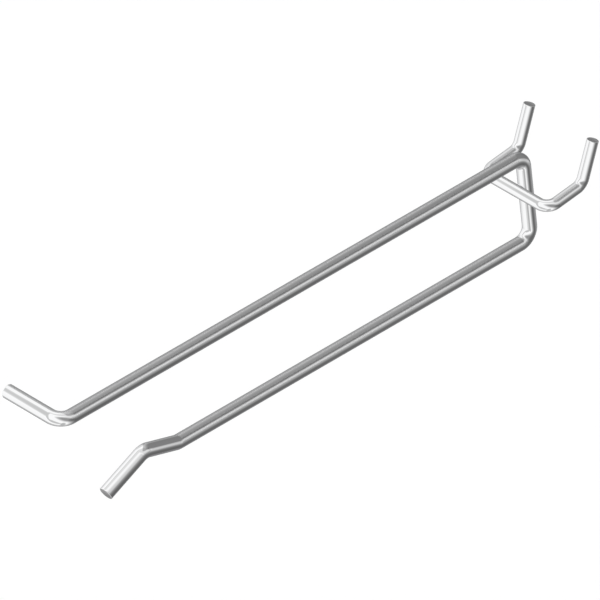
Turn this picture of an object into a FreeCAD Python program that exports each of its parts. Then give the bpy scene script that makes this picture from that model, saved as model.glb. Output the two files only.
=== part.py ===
import FreeCAD, Part
import math
import os

# Overarm display hook for perforated board, made of two bent round wires.
# The hook wire runs from the ticket bar along the upper arm, down the leg and out along the lower arm
# to the nose. The peg staple is a thinner wire welded across the front of the leg.
#
# The board's face is the plane y = 0. The pegs pass through it along +Y, the arms reach out along -Y,
# and +Z is up. The origin lies on that face, midway between the two pegs.
#
# Lengths are in millimetres and angles in degrees. A run of wire is measured along its centre line from
# corner to corner, as if its bends were sharp.

# Hook wire
hook_wire_diameter = 4.4
hook_bend_radius = 4.1        # of the centre line, at the leg and the ticket bar
arm_rise = 7.0                # both arms climb towards the front
arm_spacing = 30.25           # between the centre lines of the arms, square to them
upper_arm_length = 185.2
ticket_bar_length = 21.3
lower_arm_length = 142.8
hump_length = 13.9
hump_angle = 15.8             # up from the line of the lower arm
nose_length = 16.7
nose_angle = 26.2             # down from the line of the lower arm
nose_bend_radius = 4.6        # of the centre line, at both ends of the hump

# Peg staple
peg_wire_diameter = 3.55
peg_bend_radius = 3.4         # of the centre line
peg_pitch = 25.4              # one hole spacing of the board
peg_drop = 10.5               # from the upper corner of the leg down to the pegs
peg_reach = 7.85              # from the board's face to the corner of an upturned tip
tip_length = 14.15
tip_lean = 25.3               # back from the vertical

# Both wires
weld_depth = 0.25             # how far the crossed wires are pressed into each other
end_chamfer = 0.2             # on the rim of every cut end


def outward(rise):
    # unit vector away from the board, climbing by an angle in degrees
    return FreeCAD.Vector(0, -math.cos(math.radians(rise)), math.sin(math.radians(rise)))


def centre_line(corners, bend_radii):
    # straight runs between the corners, with a tangent arc at each inner corner
    edges = []
    run_start = corners[0]
    for before, corner, after, radius in zip(corners, corners[1:], corners[2:], bend_radii):
        incoming = (corner - before).normalize()
        outgoing = (after - corner).normalize()
        half_turn = incoming.getAngle(outgoing) / 2
        setback = radius * math.tan(half_turn)
        inset = radius / math.cos(half_turn) - radius
        arc_start = corner - incoming * setback
        arc_middle = corner + (outgoing - incoming).normalize() * inset
        arc_end = corner + outgoing * setback
        edges.append(Part.LineSegment(run_start, arc_start).toShape())
        edges.append(Part.Arc(arc_start, arc_middle, arc_end).toShape())
        run_start = arc_end
    edges.append(Part.LineSegment(run_start, corners[-1]).toShape())
    return Part.Wire(edges)


def bent_wire(corners, bend_radii, diameter):
    # solid round wire along the centre line, with its two cut ends chamfered
    path = centre_line(corners, bend_radii)
    section = Part.Wire(Part.makeCircle(diameter / 2, corners[0], corners[1] - corners[0]))
    solid = path.makePipeShell([section], True, True)
    end_faces = [face for face in solid.Faces if isinstance(face.Surface, Part.Plane)]
    rims = [edge for face in end_faces for edge in face.Edges]
    return solid.makeChamfer(end_chamfer, rims)


def hook_wire():
    upper_corner = FreeCAD.Vector(0, -hook_wire_diameter / 2, peg_drop)
    leg_length = arm_spacing / math.cos(math.radians(arm_rise))
    lower_corner = upper_corner - FreeCAD.Vector(0, 0, leg_length)
    bar_corner = upper_corner + outward(arm_rise) * upper_arm_length
    bar_end = bar_corner - FreeCAD.Vector(ticket_bar_length, 0, 0)
    hump_foot = lower_corner + outward(arm_rise) * lower_arm_length
    hump_crest = hump_foot + outward(arm_rise + hump_angle) * hump_length
    nose_end = hump_crest + outward(arm_rise - nose_angle) * nose_length
    corners = [bar_end, bar_corner, upper_corner, lower_corner, hump_foot, hump_crest, nose_end]
    bend_radii = [hook_bend_radius] * 3 + [nose_bend_radius] * 2
    return bent_wire(corners, bend_radii, hook_wire_diameter)


def peg_staple(leg):
    crossbar_y = -hook_wire_diameter - peg_wire_diameter / 2 + weld_depth
    tip_rise = FreeCAD.Vector(0, math.sin(math.radians(tip_lean)), math.cos(math.radians(tip_lean)))

    def side(x):
        tip_corner = FreeCAD.Vector(x, peg_reach, 0)
        return [FreeCAD.Vector(x, crossbar_y, 0), tip_corner, tip_corner + tip_rise * tip_length]

    corners = side(-peg_pitch / 2)[::-1] + side(peg_pitch / 2)
    staple = bent_wire(corners, [peg_bend_radius] * 4, peg_wire_diameter)
    return staple.cut(leg).Solids[0]      # leaves the saddle-shaped weld seat on the crossbar


os.makedirs("parts", exist_ok=True)
hook = hook_wire()
hook.exportStep("parts/hook_wire.step")
peg_staple(hook).exportStep("parts/peg_staple.step")
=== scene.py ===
import math

import bpy
from mathutils import Matrix, Vector


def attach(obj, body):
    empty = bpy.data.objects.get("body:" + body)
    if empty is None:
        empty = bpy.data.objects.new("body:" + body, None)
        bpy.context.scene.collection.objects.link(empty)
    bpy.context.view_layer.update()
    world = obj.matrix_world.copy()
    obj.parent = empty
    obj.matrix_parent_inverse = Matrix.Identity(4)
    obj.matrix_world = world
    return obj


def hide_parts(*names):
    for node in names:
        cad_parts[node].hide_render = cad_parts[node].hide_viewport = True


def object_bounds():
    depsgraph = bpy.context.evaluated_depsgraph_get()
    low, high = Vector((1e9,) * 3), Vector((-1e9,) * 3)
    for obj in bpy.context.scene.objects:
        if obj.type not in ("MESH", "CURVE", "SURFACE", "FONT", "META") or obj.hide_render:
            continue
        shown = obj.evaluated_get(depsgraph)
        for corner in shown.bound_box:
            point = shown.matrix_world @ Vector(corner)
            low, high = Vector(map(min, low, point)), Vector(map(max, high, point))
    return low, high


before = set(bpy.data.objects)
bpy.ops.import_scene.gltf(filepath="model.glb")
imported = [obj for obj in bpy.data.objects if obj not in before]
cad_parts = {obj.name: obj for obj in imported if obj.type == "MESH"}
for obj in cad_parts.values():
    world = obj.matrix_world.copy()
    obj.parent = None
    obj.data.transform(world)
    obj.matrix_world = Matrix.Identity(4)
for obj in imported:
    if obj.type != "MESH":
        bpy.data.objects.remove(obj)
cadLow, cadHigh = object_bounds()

mm = 0.001
scene = bpy.context.scene


# small helpers

def addNode(tree, kind, **settings):
    node = tree.nodes.new(kind)
    for name, value in settings.items():
        setattr(node, name, value)
    return node


def feed(tree, socket, value):
    # value is a plain setting or an output socket
    if isinstance(value, bpy.types.NodeSocket):
        tree.links.new(value, socket)
    else:
        socket.default_value = value


def mathNode(tree, operation, *values):
    node = addNode(tree, "ShaderNodeMath", operation=operation)
    for socket, value in zip(node.inputs, values):
        feed(tree, socket, value)
    return node.outputs[0]


def rangeNode(tree, value, fromLow, fromHigh, toLow, toHigh, steps="LINEAR"):
    node = addNode(tree, "ShaderNodeMapRange", interpolation_type=steps)
    for socket, setting in zip(node.inputs, (value, fromLow, fromHigh, toLow, toHigh)):
        feed(tree, socket, setting)
    return node.outputs["Result"]


def linkObject(name, data):
    obj = bpy.data.objects.new(name, data)
    scene.collection.objects.link(obj)
    return obj


def direction(azimuth, elevation):
    # azimuth 0 is straight out from the board, 90 is to the right
    a, e = math.radians(azimuth), math.radians(elevation)
    return Vector((math.sin(a) * math.cos(e), -math.cos(a) * math.cos(e), math.sin(e)))


# finishes

platedWire = {
    "tint": (0.965, 0.967, 0.970),
    "dimTint": (0.935, 0.940, 0.948),
    "edgeTint": (0.35, 0.35, 0.36),  # darker at a glancing angle, more than real chromium
    "cloudSize": 14.0 * mm,
    "cloudDetail": 3.0,
    "roughness": (0.02, 0.05),
    "lineWidth": 0.22 * mm,       # draw lines left by the die
    "lineLength": 18.0 * mm,
    "lineHeight": 0.0006 * mm,
    "lineDetail": 2.0,
    "lineSpan": (0.25, 0.75),     # of the noise, spread over the roughness
    "rippleSize": 1.6 * mm,       # soft unevenness of the plating
    "rippleHeight": 0.0008 * mm,
    "rippleDetail": 1.0,
}

shearedSteel = {
    "metallic": 0.3,              # the bare grain scatters light
    "burnished": (0.28, 0.28, 0.283),
    "torn": (0.23, 0.23, 0.232),
    "roughness": (0.38, 0.60),
    "tearLine": 0.35 * mm,        # below this height the wire tore off
    "grainSize": 0.16 * mm,
    "grainHeight": 0.012 * mm,
    "grainDetail": 3.0,
}


def newFinish(name, metallic):
    mat = bpy.data.materials.new(name)
    mat.use_nodes = True
    shader = mat.node_tree.nodes["Principled BSDF"]
    shader.inputs["Metallic"].default_value = metallic
    return mat, mat.node_tree, shader


def wirePlace(tree, squeeze):
    # place on the straight wire before it was bent: across in X and Y, along in Z
    across = addNode(tree, "ShaderNodeAttribute", attribute_name="wireRound")
    along = addNode(tree, "ShaderNodeAttribute", attribute_name="wireAlong")
    split = addNode(tree, "ShaderNodeSeparateXYZ")
    feed(tree, split.inputs[0], across.outputs["Vector"])
    place = addNode(tree, "ShaderNodeCombineXYZ")
    feed(tree, place.inputs["X"], split.outputs["X"])
    feed(tree, place.inputs["Y"], split.outputs["Y"])
    feed(tree, place.inputs["Z"], mathNode(tree, "MULTIPLY", along.outputs["Fac"], squeeze))
    return place.outputs[0], split.outputs["Y"]


def noiseNode(tree, place, size, detail):
    noise = addNode(tree, "ShaderNodeTexNoise")
    feed(tree, noise.inputs["Vector"], place)
    noise.inputs["Scale"].default_value = 1 / size
    noise.inputs["Detail"].default_value = detail
    return noise.outputs["Fac"]


def bumpNode(tree, height, distance, under=None):
    bump = addNode(tree, "ShaderNodeBump")
    bump.inputs["Distance"].default_value = distance
    feed(tree, bump.inputs["Height"], height)
    if under:
        feed(tree, bump.inputs["Normal"], under)
    return bump.outputs["Normal"]


def mixTints(tree, share, first, second):
    mix = addNode(tree, "ShaderNodeMix", data_type="RGBA")
    feed(tree, mix.inputs["Factor"], share)
    mix.inputs[6].default_value = (*first, 1)
    mix.inputs[7].default_value = (*second, 1)
    return mix.outputs[2]


def makePlatedWire():
    w = platedWire
    mat, tree, shader = newFinish("platedWire", 1.0)
    linePlace, _ = wirePlace(tree, w["lineWidth"] / w["lineLength"])
    plainPlace, _ = wirePlace(tree, 1.0)
    lines = noiseNode(tree, linePlace, w["lineWidth"], w["lineDetail"])
    ripple = noiseNode(tree, plainPlace, w["rippleSize"], w["rippleDetail"])
    clouds = noiseNode(tree, plainPlace, w["cloudSize"], w["cloudDetail"])
    feed(tree, shader.inputs["Base Color"], mixTints(tree, clouds, w["tint"], w["dimTint"]))
    feed(tree, shader.inputs["Roughness"], rangeNode(tree, lines, *w["lineSpan"], *w["roughness"]))
    shader.inputs["Specular Tint"].default_value = (*w["edgeTint"], 1)
    surface = bumpNode(tree, ripple, w["rippleHeight"])
    feed(tree, shader.inputs["Normal"], bumpNode(tree, lines, w["lineHeight"], surface))
    return mat


def makeShearedSteel():
    # a burnished strip where the blade entered, torn grain below it
    s = shearedSteel
    mat, tree, shader = newFinish("shearedSteel", s["metallic"])
    place, height = wirePlace(tree, 1.0)
    grain = noiseNode(tree, place, s["grainSize"], s["grainDetail"])
    wander = mathNode(tree, "MULTIPLY_ADD", grain, s["grainSize"] * 2, height)
    torn = rangeNode(tree, wander, s["tearLine"] + s["grainSize"], s["tearLine"], 0.0, 1.0, "SMOOTHSTEP")
    feed(tree, shader.inputs["Base Color"], mixTints(tree, torn, s["burnished"], s["torn"]))
    feed(tree, shader.inputs["Roughness"], rangeNode(tree, torn, 0.0, 1.0, *s["roughness"]))
    rough = mathNode(tree, "MULTIPLY", grain, torn)
    feed(tree, shader.inputs["Normal"], bumpNode(tree, rough, s["grainHeight"]))
    return mat


wireFinish = makePlatedWire()
endFinish = makeShearedSteel()
print("finishes made")


# bent wire: a round section swept along a cornered route, its bends rounded and its cut ends eased

wireMesh = {
    "bendSteps": 24,
    "sides": 72,
    "endRound": 0.12 * mm,
    "endSteps": 4,
}


def newTree(name, inputs):
    tree = bpy.data.node_groups.new(name, "GeometryNodeTree")
    tree.interface.new_socket("Geometry", in_out="INPUT", socket_type="NodeSocketGeometry")
    for label, kind in inputs.items():
        tree.interface.new_socket(label, in_out="INPUT", socket_type="NodeSocket" + kind)
    tree.interface.new_socket("Geometry", in_out="OUTPUT", socket_type="NodeSocketGeometry")
    return tree, addNode(tree, "NodeGroupInput").outputs


def keepAttribute(tree, geometry, name, kind, value):
    keep = addNode(tree, "GeometryNodeStoreNamedAttribute", data_type=kind, domain="POINT")
    keep.inputs["Name"].default_value = name
    feed(tree, keep.inputs["Geometry"], geometry)
    feed(tree, keep.inputs["Value"], value)
    return keep.outputs["Geometry"]


def sweepSection(tree, path, sides, radius, scale):
    # the round section remembers its own place, for the draw lines
    circle = addNode(tree, "GeometryNodeCurvePrimitiveCircle")
    feed(tree, circle.inputs["Resolution"], sides)
    feed(tree, circle.inputs["Radius"], radius)
    place = addNode(tree, "GeometryNodeInputPosition").outputs[0]
    section = keepAttribute(tree, circle.outputs["Curve"], "wireRound", "FLOAT_VECTOR", place)
    sweep = addNode(tree, "GeometryNodeCurveToMesh")
    sweep.inputs["Fill Caps"].default_value = True
    feed(tree, sweep.inputs["Curve"], path)
    feed(tree, sweep.inputs["Profile Curve"], section)
    feed(tree, sweep.inputs["Scale"], scale)
    return sweep.outputs["Mesh"]


def finishTree(tree, geometry, *finishes):
    # each finish is a material socket and, after the first, the faces that it covers
    real = addNode(tree, "GeometryNodeRealizeInstances")
    feed(tree, real.inputs[0], geometry)
    geometry = real.outputs[0]
    for material, faces in finishes:
        coat = addNode(tree, "GeometryNodeSetMaterial")
        feed(tree, coat.inputs["Geometry"], geometry)
        feed(tree, coat.inputs["Material"], material)
        if faces:
            feed(tree, coat.inputs["Selection"], faces)
        geometry = coat.outputs["Geometry"]
    feed(tree, addNode(tree, "NodeGroupOutput").inputs["Geometry"], geometry)


def bentWireTree():
    tree, given = newTree("bentWire", {
        "Wire Diameter": "Float", "End Round": "Float", "Bend Steps": "Int", "Sides": "Int",
        "Wire Finish": "Material", "End Finish": "Material",
    })
    radius = mathNode(tree, "MULTIPLY", given["Wire Diameter"], 0.5)
    rim = given["End Round"]

    # the route's point radius holds the bend radius of each corner
    fillet = addNode(tree, "GeometryNodeFilletCurve", mode="POLY")
    feed(tree, fillet.inputs["Curve"], given["Geometry"])
    feed(tree, fillet.inputs["Count"], given["Bend Steps"])
    feed(tree, fillet.inputs["Radius"], addNode(tree, "GeometryNodeInputRadius").outputs["Radius"])

    # quarter-round rim: the section shrinks over the last stretch before each end
    along = addNode(tree, "GeometryNodeSplineParameter").outputs["Length"]
    total = addNode(tree, "GeometryNodeSplineLength").outputs["Length"]
    toEnd = mathNode(tree, "MINIMUM", along, mathNode(tree, "SUBTRACT", total, along))
    inRim = mathNode(tree, "SUBTRACT", rim, mathNode(tree, "MINIMUM", toEnd, rim))
    rimSquare = mathNode(tree, "MULTIPLY", rim, rim)
    square = mathNode(tree, "SUBTRACT", rimSquare, mathNode(tree, "MULTIPLY", inRim, inRim))
    inset = mathNode(tree, "SUBTRACT", rim, mathNode(tree, "SQRT", square))
    share = mathNode(tree, "DIVIDE", mathNode(tree, "SUBTRACT", radius, inset), radius)
    path = keepAttribute(tree, fillet.outputs["Curve"], "wireAlong", "FLOAT", along)
    tube = sweepSection(tree, path, given["Sides"], radius, share)

    # the two end faces are the only ones with more than four corners
    corners = addNode(tree, "GeometryNodeInputMeshFaceNeighbors").outputs["Vertex Count"]
    isEnd = addNode(tree, "FunctionNodeCompare", data_type="INT", operation="GREATER_THAN")
    feed(tree, isEnd.inputs[2], corners)
    isEnd.inputs[3].default_value = 4
    isSide = addNode(tree, "FunctionNodeBooleanMath", operation="NOT")
    feed(tree, isSide.inputs[0], isEnd.outputs[0])
    smooth = addNode(tree, "GeometryNodeSetShadeSmooth")
    feed(tree, smooth.inputs[0], tube)
    feed(tree, smooth.inputs["Shade Smooth"], isSide.outputs[0])
    finishTree(tree, smooth.outputs[0], (given["Wire Finish"], None), (given["End Finish"], isEnd.outputs[0]))
    return tree


def grow(name, tree, points, values, closed=False):
    # runs a tree on a route of (place, radius) points and keeps the result as a plain mesh
    route = bpy.data.curves.new(name + "Route", "CURVE")
    route.dimensions = "3D"
    spline = route.splines.new("POLY")
    spline.points.add(len(points) - 1)
    for slot, (place, radius) in zip(spline.points, points):
        slot.co = (*place, 1)
        slot.radius = radius
    spline.use_cyclic_u = closed
    carrier = linkObject(name + "Route", route)
    modifier = carrier.modifiers.new(tree.name, "NODES")
    modifier.node_group = tree
    for socket in tree.interface.items_tree:
        if socket.in_out == "INPUT" and socket.name in values:
            modifier[socket.identifier] = values[socket.name]
    bpy.context.view_layer.update()
    evaluated = carrier.evaluated_get(bpy.context.evaluated_depsgraph_get())
    mesh = bpy.data.meshes.new_from_object(evaluated)
    mesh.name = name
    bpy.data.objects.remove(carrier)
    piece = linkObject(name, mesh)
    print(name + ":", len(mesh.polygons), "faces")
    return piece


def cutEnd(end, inner):
    # points over the last stretch before a cut end, where the rim is eased
    inward = (inner - end).normalized()
    places = [end]
    for step in range(1, wireMesh["endSteps"] + 1):
        turn = math.radians(90 * step / wireMesh["endSteps"])
        places.append(end + inward * wireMesh["endRound"] * (1 - math.cos(turn)))
    places.append(end + inward * wireMesh["endRound"] * 2)  # keeps the rim's shading off the straight run
    return [(place, 0.0) for place in places]


def makeWire(name, tree, corners, bendRadii, diameter):
    first = cutEnd(corners[0], corners[1])
    last = cutEnd(corners[-1], corners[-2])[::-1]
    points = first + list(zip(corners[1:-1], bendRadii)) + last
    return grow(name, tree, points, {
        "Wire Diameter": diameter,
        "End Round": wireMesh["endRound"],
        "Bend Steps": wireMesh["bendSteps"],
        "Sides": wireMesh["sides"],
        "Wire Finish": wireFinish,
        "End Finish": endFinish,
    })


bentWire = bentWireTree()


# hook wire: ticket bar, upper arm, leg, lower arm, hump and nose in one length

hookWire = {
    "diameter": 4.4 * mm,
    "bendRadius": 4.1 * mm,
    "armRise": 7.0,
    "armSpacing": 30.25 * mm,
    "upperArm": 185.2 * mm,
    "ticketBar": 21.3 * mm,
    "lowerArm": 142.8 * mm,
    "hump": 13.9 * mm,
    "humpAngle": 15.8,
    "nose": 16.7 * mm,
    "noseAngle": 26.2,
    "noseBendRadius": 4.6 * mm,
    "pegDrop": 10.5 * mm,
}


def hookCorners():
    h = hookWire
    armWay = direction(0, h["armRise"])
    upperCorner = Vector((0, -h["diameter"] / 2, h["pegDrop"]))
    lowerCorner = upperCorner - Vector((0, 0, h["armSpacing"] / math.cos(math.radians(h["armRise"]))))
    barCorner = upperCorner + armWay * h["upperArm"]
    barEnd = barCorner - Vector((h["ticketBar"], 0, 0))
    humpFoot = lowerCorner + armWay * h["lowerArm"]
    humpCrest = humpFoot + direction(0, h["armRise"] + h["humpAngle"]) * h["hump"]
    noseEnd = humpCrest + direction(0, h["armRise"] - h["noseAngle"]) * h["nose"]
    return [barEnd, barCorner, upperCorner, lowerCorner, humpFoot, humpCrest, noseEnd]


hookBends = [hookWire["bendRadius"]] * 3 + [hookWire["noseBendRadius"]] * 2
hookPiece = makeWire("hookWire", bentWire, hookCorners(), hookBends, hookWire["diameter"])


# peg staple: crossbar on the front of the leg, two shanks and two upturned tips

pegStaple = {
    "diameter": 3.55 * mm,
    "bendRadius": 3.4 * mm,
    "pitch": 25.4 * mm,
    "reach": 7.85 * mm,
    "tip": 14.15 * mm,
    "tipLean": 25.3,
    "weldDepth": 0.25 * mm,
}


def stapleCorners():
    s = pegStaple
    crossbarY = -hookWire["diameter"] - s["diameter"] / 2 + s["weldDepth"]
    tipWay = direction(180, 90 - s["tipLean"])
    sides = []
    for x in (-s["pitch"] / 2, s["pitch"] / 2):
        tipCorner = Vector((x, s["reach"], 0))
        sides.append([Vector((x, crossbarY, 0)), tipCorner, tipCorner + tipWay * s["tip"]])
    return sides[0][::-1] + sides[1]


stapleBends = [pegStaple["bendRadius"]] * 4
staplePiece = makeWire("pegStaple", bentWire, stapleCorners(), stapleBends, pegStaple["diameter"])


# weld flash: the thin uneven bead squeezed out round the seat of the crossbar on the leg

weldFlash = {
    "radius": 0.2 * mm,
    "spread": 0.14 * mm,          # how far outside the seat it lies
    "points": 64,
    "sides": 16,
    "unevenness": 0.35,
    "lumpSize": 0.7 * mm,
    "seed": 7.0,
}


def seatPoint(turn):
    # on the line where the pressed wires meet: one's surface falls away as the other's comes
    legRadius, barRadius = hookWire["diameter"] / 2, pegStaple["diameter"] / 2
    legDrop = pegStaple["weldDepth"] * math.cos(turn) ** 2
    barDrop = pegStaple["weldDepth"] * math.sin(turn) ** 2
    x = math.copysign(math.sqrt(legDrop * (2 * legRadius - legDrop)), math.cos(turn))
    z = math.copysign(math.sqrt(barDrop * (2 * barRadius - barDrop)), math.sin(turn))
    outside = Vector((x, 0, z)).normalized() * weldFlash["spread"]
    return Vector((x, legDrop - 2 * legRadius, z)) + outside


def weldBeadTree():
    tree, given = newTree("weldBead", {
        "Bead Radius": "Float", "Sides": "Int", "Unevenness": "Float", "Lump Size": "Float", "Seed": "Float",
        "Wire Finish": "Material",
    })
    along = addNode(tree, "GeometryNodeSplineParameter").outputs["Length"]
    lumps = addNode(tree, "ShaderNodeTexNoise", noise_dimensions="4D")
    feed(tree, lumps.inputs["W"], given["Seed"])
    feed(tree, lumps.inputs["Scale"], mathNode(tree, "DIVIDE", 1.0, given["Lump Size"]))
    swing = mathNode(tree, "SUBTRACT", lumps.outputs["Fac"], 0.5)
    swing = mathNode(tree, "MULTIPLY", swing, given["Unevenness"])
    uneven = mathNode(tree, "MULTIPLY_ADD", swing, 2.0, 1.0)  # thinner and thicker round 1
    path = keepAttribute(tree, given["Geometry"], "wireAlong", "FLOAT", along)
    bead = sweepSection(tree, path, given["Sides"], given["Bead Radius"], uneven)
    smooth = addNode(tree, "GeometryNodeSetShadeSmooth")
    feed(tree, smooth.inputs[0], bead)
    finishTree(tree, smooth.outputs[0], (given["Wire Finish"], None))
    return tree


seatTurns = [2 * math.pi * (step + 0.5) / weldFlash["points"] for step in range(weldFlash["points"])]
flashPiece = grow("weldFlash", weldBeadTree(), [(seatPoint(turn), 1.0) for turn in seatTurns], {
    "Bead Radius": weldFlash["radius"],
    "Sides": weldFlash["sides"],
    "Unevenness": weldFlash["unevenness"],
    "Lump Size": weldFlash["lumpSize"],
    "Seed": weldFlash["seed"],
    "Wire Finish": wireFinish,
}, closed=True)

for piece in (hookPiece, staplePiece, flashPiece):
    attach(piece, "root")
    piece.visible_glossy = False  # the wires mirror the studio and not each other, as in the photo
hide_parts("hook_wire")
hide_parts("peg_staple")
print("pieces ride on the frame")


# studio: white surroundings dimmed by soft nets, a pale floor and a soft key lamp

studio = {
    "fill": 0.85,                 # of the white surroundings, on the floor
    "keyStrength": 0.75,
    "keyAngle": 30.0,
    "keyTurn": (40.0, -30.0),
    "floorDrop": 0.3,
    "floorSize": 20.0,
    "floorColour": (0.98, 0.98, 0.98),
    "netDistance": 4.0,
    "netCorners": 48,
}

# each net dims one of the reflections that the photo shows
# place in degrees round the hook, half width and half height over the distance, even core, light let through
nets = {
    "frontStrip": {"place": (15, -20), "roll": 45, "half": (0.35, 0.9), "core": 0.35, "passes": 0.55},
    "lowStrip": {"place": (50, -50), "roll": -10, "half": (0.24, 0.7), "core": 0.4, "passes": 0.5},
    "upperStrip": {"place": (-30, 25), "roll": 31, "half": (0.2, 3.0), "core": 0.3, "passes": 0.6},
    "backWide": {"place": (-170, 17), "roll": -55, "half": (2.8, 0.9), "core": 0.8, "passes": 0.55},
    "backInner": {"place": (175, 14), "roll": 0, "half": (1.15, 1.15), "core": 0.4, "passes": 0.4},
    "lowRight": {"place": (120, -34), "roll": -60, "half": (2.1, 0.9), "core": 0.0, "passes": 0.12},
    "right": {"place": (73, 21), "roll": 30, "half": (0.7, 2.4), "core": 0.15, "passes": 0.3},
    "highRight": {"place": (128, 49), "roll": 78, "half": (2.4, 0.4), "core": 0.7, "passes": 0.75},
    "below": {"place": (-145, -75), "roll": -30, "half": (1.5, 0.8), "core": 0.8, "passes": 0.65},
    "backLeft": {"place": (-117, 20), "roll": 10, "half": (0.4, 0.55), "core": 0.5, "passes": 0.8},
    "backLine": {"place": (144, 43), "roll": 80, "half": (0.4, 0.1), "core": 0.2, "passes": 0.7},
}

middle = (cadLow + cadHigh) / 2


def makeNet(name, net):
    mat = bpy.data.materials.new(name)
    mat.use_nodes = True
    tree = mat.node_tree
    tree.nodes.clear()
    place = addNode(tree, "ShaderNodeTexCoord").outputs["Object"]
    reach = addNode(tree, "ShaderNodeVectorMath", operation="LENGTH")
    feed(tree, reach.inputs[0], place)
    light = rangeNode(tree, reach.outputs["Value"], net["core"], 1.0, net["passes"], 1.0, "SMOOTHSTEP")
    veil = addNode(tree, "ShaderNodeBsdfTransparent")
    feed(tree, veil.inputs["Color"], light)
    feed(tree, addNode(tree, "ShaderNodeOutputMaterial").inputs["Surface"], veil.outputs[0])

    corners = studio["netCorners"]
    turns = [2 * math.pi * step / corners for step in range(corners)]
    mesh = bpy.data.meshes.new(name)
    mesh.from_pydata([(math.cos(t), math.sin(t), 0) for t in turns], [], [range(corners)])
    mesh.materials.append(mat)
    obj = linkObject(name, mesh)
    away = direction(*net["place"])
    across = Vector((0, 0, 1)).cross(away).normalized()
    turned = Matrix.Rotation(math.radians(net["roll"]), 3, away)
    wide = turned @ across * net["half"][0] * studio["netDistance"]
    tall = turned @ away.cross(across) * net["half"][1] * studio["netDistance"]
    spot = middle + away * studio["netDistance"]
    obj.matrix_world = Matrix((wide, tall, away)).transposed().to_4x4()
    obj.location = spot
    # only the plating sees the nets
    obj.visible_camera = False
    obj.visible_diffuse = False
    obj.visible_shadow = False
    obj.visible_transmission = False


def makeFloor():
    mat = bpy.data.materials.new("paleFloor")
    mat.use_nodes = True
    shader = mat.node_tree.nodes["Principled BSDF"]
    shader.inputs["Base Color"].default_value = (*studio["floorColour"], 1)
    shader.inputs["Roughness"].default_value = 1.0
    half = studio["floorSize"] / 2
    level = cadLow.z - studio["floorDrop"]
    corners = [(x, y, level) for x, y in ((-half, -half), (half, -half), (half, half), (-half, half))]
    mesh = bpy.data.meshes.new("floor")
    mesh.from_pydata(corners, [], [(0, 1, 2, 3)])
    mesh.materials.append(mat)
    floor = linkObject("floor", mesh)
    floor.visible_glossy = False  # the plating shows the white surroundings there


def makeWorld():
    world = bpy.data.worlds.new("studio")
    world.use_nodes = True
    tree = world.node_tree
    path = addNode(tree, "ShaderNodeLightPath").outputs
    seen = mathNode(tree, "MAXIMUM", path["Is Camera Ray"], path["Is Glossy Ray"])
    seen = mathNode(tree, "MAXIMUM", seen, path["Is Transmission Ray"])
    background = tree.nodes["Background"]
    background.inputs["Color"].default_value = (1, 1, 1, 1)
    feed(tree, background.inputs["Strength"], rangeNode(tree, seen, 0.0, 1.0, studio["fill"], 1.0))
    world.cycles.sampling_method = "NONE"  # every reflection passes the nets
    scene.world = world


def makeKey():
    lamp = bpy.data.lights.new("key", "SUN")
    lamp.energy = studio["keyStrength"]
    lamp.angle = math.radians(studio["keyAngle"])
    key = linkObject("key", lamp)
    tilt, turn = studio["keyTurn"]
    key.rotation_euler = (math.radians(tilt), 0, math.radians(turn))
    key.visible_glossy = False


for name, net in nets.items():
    makeNet(name, net)
makeFloor()
makeWorld()
makeKey()
print("studio set up with", len(nets), "nets")


# camera: a long lens on the isometric direction of the level hook

photoView = {
    "azimuth": 48.81,
    "elevation": 40.15,
    "roll": -6.26,
    "lens": 1500.0,
    "sensor": 36.0,
    "distance": 7.1606,
    "clipEnd": 100.0,
    "aim": (-66.05 * mm, -18.08 * mm),  # right of and above the lower corner of the leg, in the picture
}


def makeCamera():
    v = photoView
    lens = bpy.data.cameras.new("camera")
    lens.lens = v["lens"]
    lens.sensor_width = v["sensor"]
    lens.clip_end = v["clipEnd"]
    camera = linkObject("camera", lens)
    # isometric axes of the hook with its arms level
    level = Matrix.Rotation(math.radians(-hookWire["armRise"]), 3, "X")
    isoBack = level @ Vector((1, -1, 1)).normalized()
    isoRight = (level @ Vector((0, 0, 1))).cross(isoBack).normalized()
    isoUp = isoBack.cross(isoRight)
    aim = hookCorners()[3] + isoRight * v["aim"][0] + isoUp * v["aim"][1]
    back = direction(v["azimuth"], v["elevation"])
    camera.location = aim + back * v["distance"]
    camera.rotation_mode = "QUATERNION"
    upright = (-back).to_track_quat("-Z", "Y").to_matrix()
    camera.rotation_quaternion = (Matrix.Rotation(math.radians(v["roll"]), 3, back) @ upright).to_quaternion()
    scene.camera = camera


makeCamera()
scene.view_settings.view_transform = "Standard"
